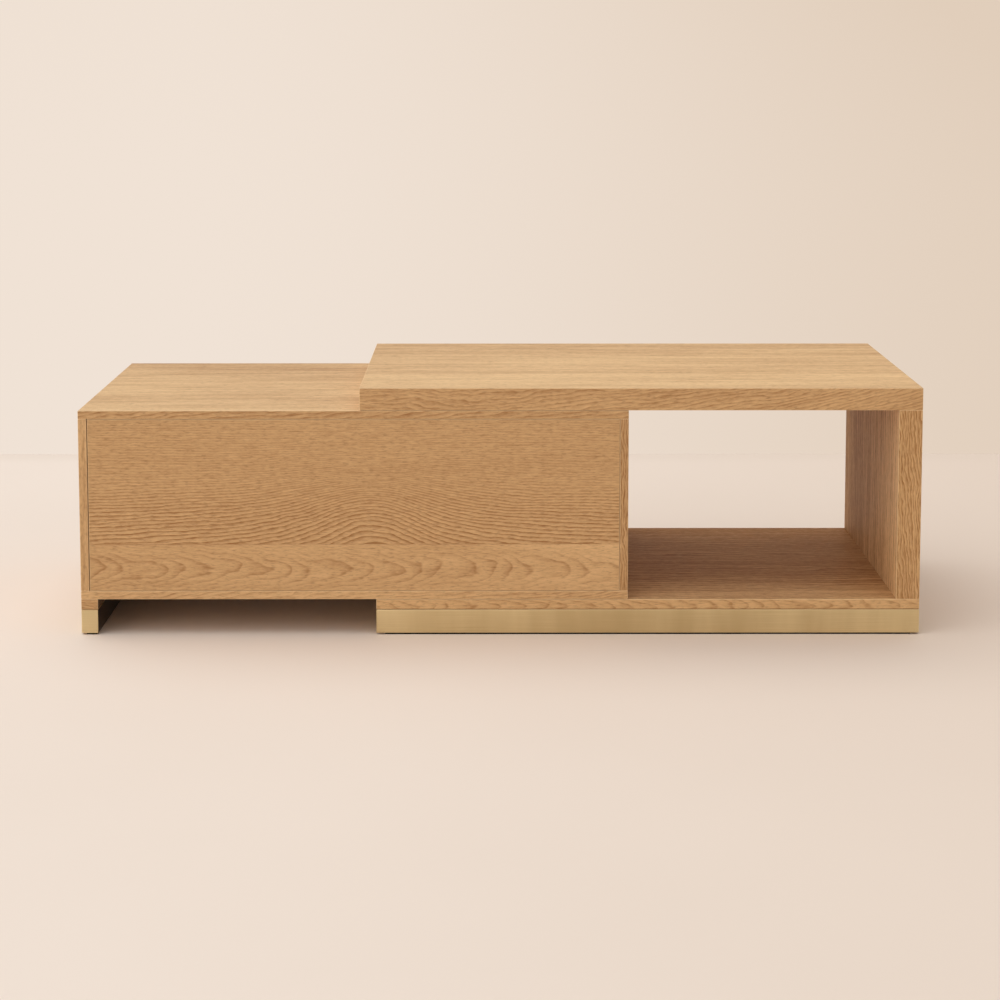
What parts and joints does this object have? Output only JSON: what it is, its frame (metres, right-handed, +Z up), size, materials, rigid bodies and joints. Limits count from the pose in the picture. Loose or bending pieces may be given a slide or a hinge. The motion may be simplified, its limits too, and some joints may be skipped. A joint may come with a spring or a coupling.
{
  "type": "extendable coffee table",
  "caption": "Low oak coffee table whose closed box slides out from under a thick top on a brass-faced base, with an open bay beside it and a push-to-open drawer in the box.",
  "frame": {"origin": "on the floor below the centre of the extended table's footprint", "axes": "+X along the table, away from the end where the box pulls out; front, with the drawer, at -Y; +Z up"},
  "size_m": [1.5, 0.6, 0.446],
  "materials": {
    "oak_veneer": "natural oak veneer, matt lacquer",
    "drawer_wood": "birch plywood, matt lacquer",
    "frame_wood": "sanded hardwood, unfinished",
    "brass": "satin brushed",
    "aluminium": "satin anodised",
    "zinc_steel": "bright zinc plated",
    "nylon": "as moulded",
    "latch_plastic": "as moulded",
    "glide_plastic": "as moulded",
    "rubber": "matt"
  },
  "bodies": {
    "bridge": {"top_panel": "oak_veneer", "end_panel": "oak_veneer", "base_board": "oak_veneer", "bridge_tongues": "frame_wood", "plinth_front_rail": "frame_wood", "plinth_back_rail": "frame_wood", "plinth_left_rail": "frame_wood", "plinth_middle_rail": "frame_wood", "plinth_right_rail": "frame_wood", "plinth_corner_blocks": "frame_wood", "plinth_brass_front": "brass", "plinth_brass_back": "brass", "plinth_brass_left": "brass", "plinth_brass_right": "brass", "plinth_glides": "glide_plastic", "front_track": "aluminium", "back_track": "aluminium", "front_track_stop": "nylon", "back_track_stop": "nylon", "guide_block": "nylon", "top_slide_strips": "nylon", "base_slide_strips": "nylon"},
    "box": {"box_top": "oak_veneer", "box_bottom": "oak_veneer", "box_left_end": "oak_veneer", "box_right_end": "oak_veneer", "box_back": "oak_veneer", "box_tongues": "frame_wood", "foot_rail": "oak_veneer", "foot_core": "frame_wood", "foot_brass_sleeve": "brass", "foot_glide": "glide_plastic", "front_guide_shoe": "nylon", "back_guide_shoe": "nylon", "box_slide_strips": "nylon", "box_bumpers": "rubber", "left_cabinet_member": "zinc_steel", "right_cabinet_member": "zinc_steel", "left_latch_body": "latch_plastic", "right_latch_body": "latch_plastic"},
    "drawer": {"drawer_front": "oak_veneer", "drawer_inner_front": "drawer_wood", "drawer_left_side": "drawer_wood", "drawer_right_side": "drawer_wood", "drawer_back": "drawer_wood", "drawer_bottom": "drawer_wood", "left_drawer_member": "zinc_steel", "right_drawer_member": "zinc_steel"},
    "left_outer_ball_cage": {"left_outer_ball_cage": "zinc_steel"},
    "left_middle_member": {"left_middle_member": "zinc_steel"},
    "left_inner_ball_cage": {"left_inner_ball_cage": "zinc_steel"},
    "right_outer_ball_cage": {"right_outer_ball_cage": "zinc_steel"},
    "right_middle_member": {"right_middle_member": "zinc_steel"},
    "right_inner_ball_cage": {"right_inner_ball_cage": "zinc_steel"},
    "left_latch_plunger": {"left_latch_plunger": "latch_plastic"},
    "right_latch_plunger": {"right_latch_plunger": "latch_plastic"}
  },
  "joints": [
    {"name": "box_slide", "type": "slide", "parent": "bridge", "child": "box", "axis": [1, 0, 0], "range_m": [0, 0.4767]},
    {"name": "drawer_slide", "type": "slide", "parent": "box", "child": "drawer", "axis": [0, -1, 0], "range_m": [0, 0.5]},
    {"name": "left_outer_ball_cage_slide", "type": "slide", "parent": "box", "child": "left_outer_ball_cage", "axis": [0, -1, 0], "range_m": [0, 0.125]},
    {"name": "left_middle_member_slide", "type": "slide", "parent": "box", "child": "left_middle_member", "axis": [0, -1, 0], "range_m": [0, 0.25]},
    {"name": "left_inner_ball_cage_slide", "type": "slide", "parent": "box", "child": "left_inner_ball_cage", "axis": [0, -1, 0], "range_m": [0, 0.375]},
    {"name": "right_outer_ball_cage_slide", "type": "slide", "parent": "box", "child": "right_outer_ball_cage", "axis": [0, -1, 0], "range_m": [0, 0.125]},
    {"name": "right_middle_member_slide", "type": "slide", "parent": "box", "child": "right_middle_member", "axis": [0, -1, 0], "range_m": [0, 0.25]},
    {"name": "right_inner_ball_cage_slide", "type": "slide", "parent": "box", "child": "right_inner_ball_cage", "axis": [0, -1, 0], "range_m": [0, 0.375]},
    {"name": "left_latch_plunger_press", "type": "slide", "parent": "box", "child": "left_latch_plunger", "axis": [0, 1, 0], "range_m": [0, 0.0025], "stiffness_N_per_m": 1500, "springref_m": -0.004},
    {"name": "right_latch_plunger_press", "type": "slide", "parent": "box", "child": "right_latch_plunger", "axis": [0, 1, 0], "range_m": [0, 0.0025], "stiffness_N_per_m": 1500, "springref_m": -0.004}
  ],
  "couplings": [
    {"joint": "left_outer_ball_cage_slide", "follows": "drawer_slide", "ratio": 0.25},
    {"joint": "left_middle_member_slide", "follows": "drawer_slide", "ratio": 0.5},
    {"joint": "left_inner_ball_cage_slide", "follows": "drawer_slide", "ratio": 0.75},
    {"joint": "right_outer_ball_cage_slide", "follows": "drawer_slide", "ratio": 0.25},
    {"joint": "right_middle_member_slide", "follows": "drawer_slide", "ratio": 0.5},
    {"joint": "right_inner_ball_cage_slide", "follows": "drawer_slide", "ratio": 0.75}
  ]
}
